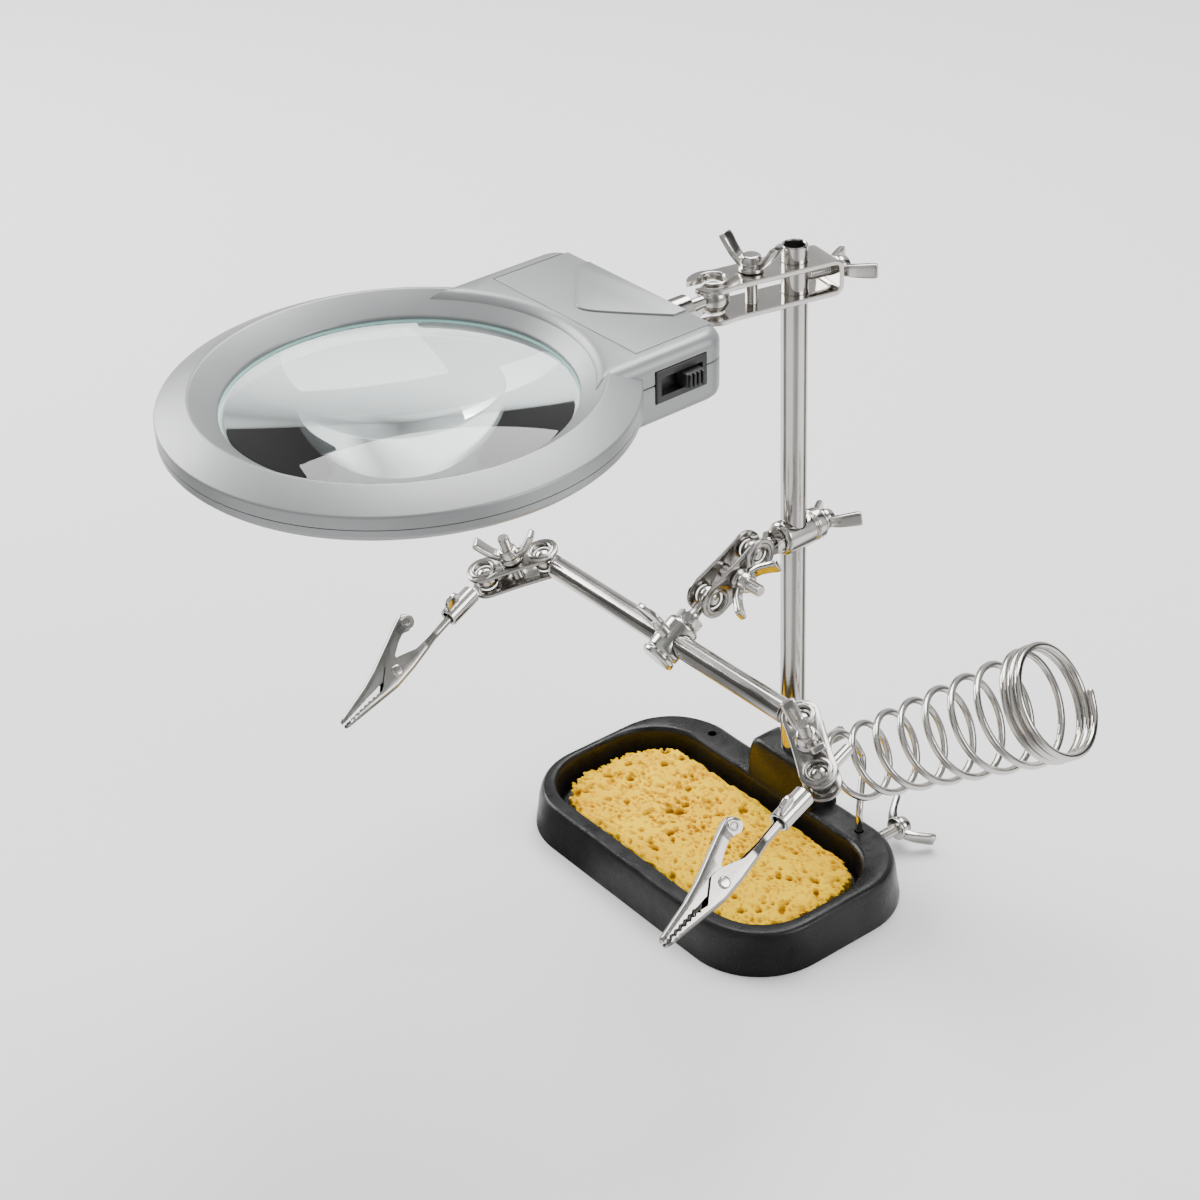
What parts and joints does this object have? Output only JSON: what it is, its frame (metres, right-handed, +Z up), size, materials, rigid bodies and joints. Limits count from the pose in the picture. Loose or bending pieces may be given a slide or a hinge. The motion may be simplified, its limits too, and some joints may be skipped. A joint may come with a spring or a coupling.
{
  "type": "soldering iron station",
  "caption": "Helping-hands soldering stand: cast base with a wiping sponge, a post with a lit ring magnifier, a jointed cross arm with crocodile clips and a coiled iron holder.",
  "frame": {"origin": "centre of the base's flat underside, on the table", "axes": "+Z up, +X along the base's long side towards the iron holder, +Y across the base from the user's side towards the post"},
  "size_m": [0.2284, 0.2967, 0.262],
  "materials": {
    "cast_black": "satin black baked paint over a slightly lumpy cast surface",
    "sponge": "yellow cellulose sponge with open pores",
    "nickel": "bright nickel plate over steel",
    "shell_silver": "satin silver-grey moulded plastic",
    "lens_clear": "polished clear lens",
    "switch_black": "matt black plastic",
    "cell": "printed sleeve in one plain colour over a metal can",
    "led": "clear moulded lamp body"
  },
  "bodies": {
    "stand": {"base": "cast_black", "sponge": "sponge", "post": "nickel"},
    "post_lock": {"post_lock_screw": "nickel"},
    "leg_lock": {"leg_lock_screw": "nickel"},
    "iron_holder": {"iron_spring": "nickel"},
    "bracket": {"top_bracket": "nickel"},
    "bracket_ball_lock": {"bracket_ball_screw": "nickel"},
    "bracket_end_lock": {"bracket_end_screw": "nickel"},
    "magnifier_stud": {"magnifier_ball_stud": "nickel"},
    "magnifier": {"magnifier_top_shell": "shell_silver", "magnifier_bottom_shell": "shell_silver", "lens": "lens_clear", "battery_front": "cell", "battery_rear": "cell", "battery_contact_positive": "nickel", "battery_contact_negative": "nickel", "switch_body": "switch_black", "led_left": "led", "led_right": "led"},
    "cover": {"battery_cover": "shell_silver"},
    "switch": {"switch_slider": "switch_black"},
    "post_clamp": {"post_clamp_block": "nickel", "post_clamp_ball_stud": "nickel", "post_clamp_lock_nut": "nickel"},
    "post_clamp_lock": {"post_clamp_screw": "nickel"},
    "mid_link": {"mid_link_plate_outer": "nickel", "mid_link_plate_inner": "nickel", "mid_link_bolt": "nickel"},
    "mid_nut": {"mid_link_wing_nut": "nickel"},
    "arm_clamp": {"arm_clamp_block": "nickel", "arm_clamp_ball_stud": "nickel", "arm_clamp_lock_nut": "nickel"},
    "arm_clamp_lock": {"arm_clamp_screw": "nickel"},
    "cross_arm": {"cross_tube": "nickel", "left_arm_ball_stud": "nickel", "right_arm_ball_stud": "nickel"},
    "left_link": {"left_link_plate_outer": "nickel", "left_link_plate_inner": "nickel", "left_link_bolt": "nickel"},
    "left_nut": {"left_link_wing_nut": "nickel"},
    "left_clip": {"left_clip_ball_stud": "nickel", "left_clip_socket": "nickel", "left_clip_lower_jaw": "nickel", "left_clip_pin": "nickel", "left_clip_spring": "nickel"},
    "left_clip_lock": {"left_clip_screw": "nickel"},
    "left_jaw": {"left_clip_upper_jaw": "nickel"},
    "right_link": {"right_link_plate_outer": "nickel", "right_link_plate_inner": "nickel", "right_link_bolt": "nickel"},
    "right_nut": {"right_link_wing_nut": "nickel"},
    "right_clip": {"right_clip_ball_stud": "nickel", "right_clip_socket": "nickel", "right_clip_lower_jaw": "nickel", "right_clip_pin": "nickel", "right_clip_spring": "nickel"},
    "right_clip_lock": {"right_clip_screw": "nickel"},
    "right_jaw": {"right_clip_upper_jaw": "nickel"}
  },
  "joints": [
    {"name": "post_lock_turn", "type": "hinge", "parent": "stand", "child": "post_lock", "pos_m": [0.0035, 0.0496, 0.03], "axis": [0, 1, 0], "range_deg": [0, 360]},
    {"name": "leg_lock_turn", "type": "hinge", "parent": "stand", "child": "leg_lock", "pos_m": [0.0452, 0.058, 0.009], "axis": [0, 1, 0], "range_deg": [-50, 5]},
    {"name": "iron_holder_swing", "type": "hinge", "parent": "stand", "child": "iron_holder", "pos_m": [0.0452, 0.038, 0.01], "axis": [0, 0, 1], "range_deg": [-25, 60]},
    {"name": "bracket_swing", "type": "hinge", "parent": "stand", "child": "bracket", "pos_m": [0.0035, 0.04, 0.2425], "axis": [0, 0, 1], "range_deg": [-60, 60]},
    {"name": "bracket_ball_lock_turn", "type": "hinge", "parent": "bracket", "child": "bracket_ball_lock", "pos_m": [0.00003, 0.02234, 0.2498], "axis": [0, 0, 1], "range_deg": [0, 360]},
    {"name": "bracket_end_lock_turn", "type": "hinge", "parent": "bracket", "child": "bracket_end_lock", "pos_m": [0.00664, 0.056, 0.2425], "axis": [0.1925, 0.9813, 0], "range_deg": [0, 360]},
    {"name": "magnifier_tilt", "type": "hinge", "parent": "bracket", "child": "magnifier_stud", "pos_m": [-0.00297, 0.00703, 0.2425], "axis": [0.9813, -0.1925, 0], "range_deg": [-12, 12]},
    {"name": "magnifier_roll", "type": "hinge", "parent": "magnifier_stud", "child": "magnifier", "pos_m": [-0.00297, 0.00703, 0.2425], "axis": [-0.0209, 0.9997, 0.0087], "range_deg": [-20, 20]},
    {"name": "battery_cover_slide", "type": "slide", "parent": "magnifier", "child": "cover", "axis": [-0.0209, 0.9997, 0.0087], "range_m": [0, 0.025]},
    {"name": "lamp_switch_slide", "type": "slide", "parent": "magnifier", "child": "switch", "axis": [-0.0209, 0.9997, 0.0087], "range_m": [-0.005, 0]},
    {"name": "post_clamp_slide", "type": "slide", "parent": "stand", "child": "post_clamp", "axis": [0, 0, 1], "range_m": [-0.06, 0.07]},
    {"name": "post_clamp_lock_turn", "type": "hinge", "parent": "post_clamp", "child": "post_clamp_lock", "pos_m": [0.0035, 0.0533, 0.1362], "axis": [0, 1, 0], "range_deg": [0, 360]},
    {"name": "mid_link_tilt", "type": "hinge", "parent": "post_clamp", "child": "mid_link", "pos_m": [0.0035, 0.0191, 0.1362], "axis": [1, 0, 0], "range_deg": [-30, 30]},
    {"name": "mid_nut_turn", "type": "hinge", "parent": "mid_link", "child": "mid_nut", "pos_m": [0.0035, 0.00815, 0.1305], "axis": [1, 0, 0], "range_deg": [0, 360]},
    {"name": "arm_clamp_tilt", "type": "hinge", "parent": "mid_link", "child": "arm_clamp", "pos_m": [0.0035, -0.0028, 0.1248], "axis": [1, 0, 0], "range_deg": [-30, 30]},
    {"name": "arm_clamp_lock_turn", "type": "hinge", "parent": "arm_clamp", "child": "arm_clamp_lock", "pos_m": [0.0035, -0.02509, 0.11906], "axis": [0, -0.5398, 0.8418], "range_deg": [0, 360]},
    {"name": "cross_arm_slide", "type": "slide", "parent": "arm_clamp", "child": "cross_arm", "axis": [1, 0, 0], "range_m": [-0.025, 0.025]},
    {"name": "left_link_swing", "type": "hinge", "parent": "cross_arm", "child": "left_link", "pos_m": [-0.077, -0.0212, 0.113], "axis": [-0.0002, -0.3003, 0.9538], "range_deg": [-30, 30]},
    {"name": "left_nut_turn", "type": "hinge", "parent": "left_link", "child": "left_nut", "pos_m": [-0.08325, -0.0312, 0.10985], "axis": [-0.0002, -0.3003, 0.9538], "range_deg": [0, 360]},
    {"name": "left_clip_swing", "type": "hinge", "parent": "left_link", "child": "left_clip", "pos_m": [-0.0895, -0.0412, 0.1067], "axis": [-0.0002, -0.3003, 0.9538], "range_deg": [-30, 30]},
    {"name": "left_clip_lock_turn", "type": "hinge", "parent": "left_clip", "child": "left_clip_lock", "pos_m": [-0.08606, -0.06, 0.10017], "axis": [0.3074, -0.2614, 0.915], "range_deg": [0, 360]},
    {"name": "left_jaw_open", "type": "hinge", "parent": "left_clip", "child": "left_jaw", "pos_m": [-0.07996, -0.09333, 0.0886], "axis": [-0.7067, 0.1132, -0.6984], "range_deg": [0, 18], "stiffness_Nm_per_rad": 0.3, "springref_deg": -20.05},
    {"name": "right_link_swing", "type": "hinge", "parent": "cross_arm", "child": "right_link", "pos_m": [0.077, -0.0212, 0.113], "axis": [0.1397, -0.3916, 0.9095], "range_deg": [-30, 30]},
    {"name": "right_nut_turn", "type": "hinge", "parent": "right_link", "child": "right_nut", "pos_m": [0.08735, -0.02645, 0.10915], "axis": [0.1397, -0.3916, 0.9095], "range_deg": [0, 360]},
    {"name": "right_clip_swing", "type": "hinge", "parent": "right_link", "child": "right_clip", "pos_m": [0.0977, -0.0317, 0.1053], "axis": [0.1397, -0.3916, 0.9095], "range_deg": [-30, 30]},
    {"name": "right_clip_lock_turn", "type": "hinge", "parent": "right_clip", "child": "right_clip_lock", "pos_m": [0.10073, -0.05097, 0.10004], "axis": [0.2964, -0.208, 0.9321], "range_deg": [0, 360]},
    {"name": "right_jaw_open", "type": "hinge", "parent": "right_clip", "child": "right_jaw", "pos_m": [0.1061, -0.08511, 0.09071], "axis": [-0.7002, 0.0835, -0.709], "range_deg": [0, 18], "stiffness_Nm_per_rad": 0.3, "springref_deg": -20.05}
  ]
}
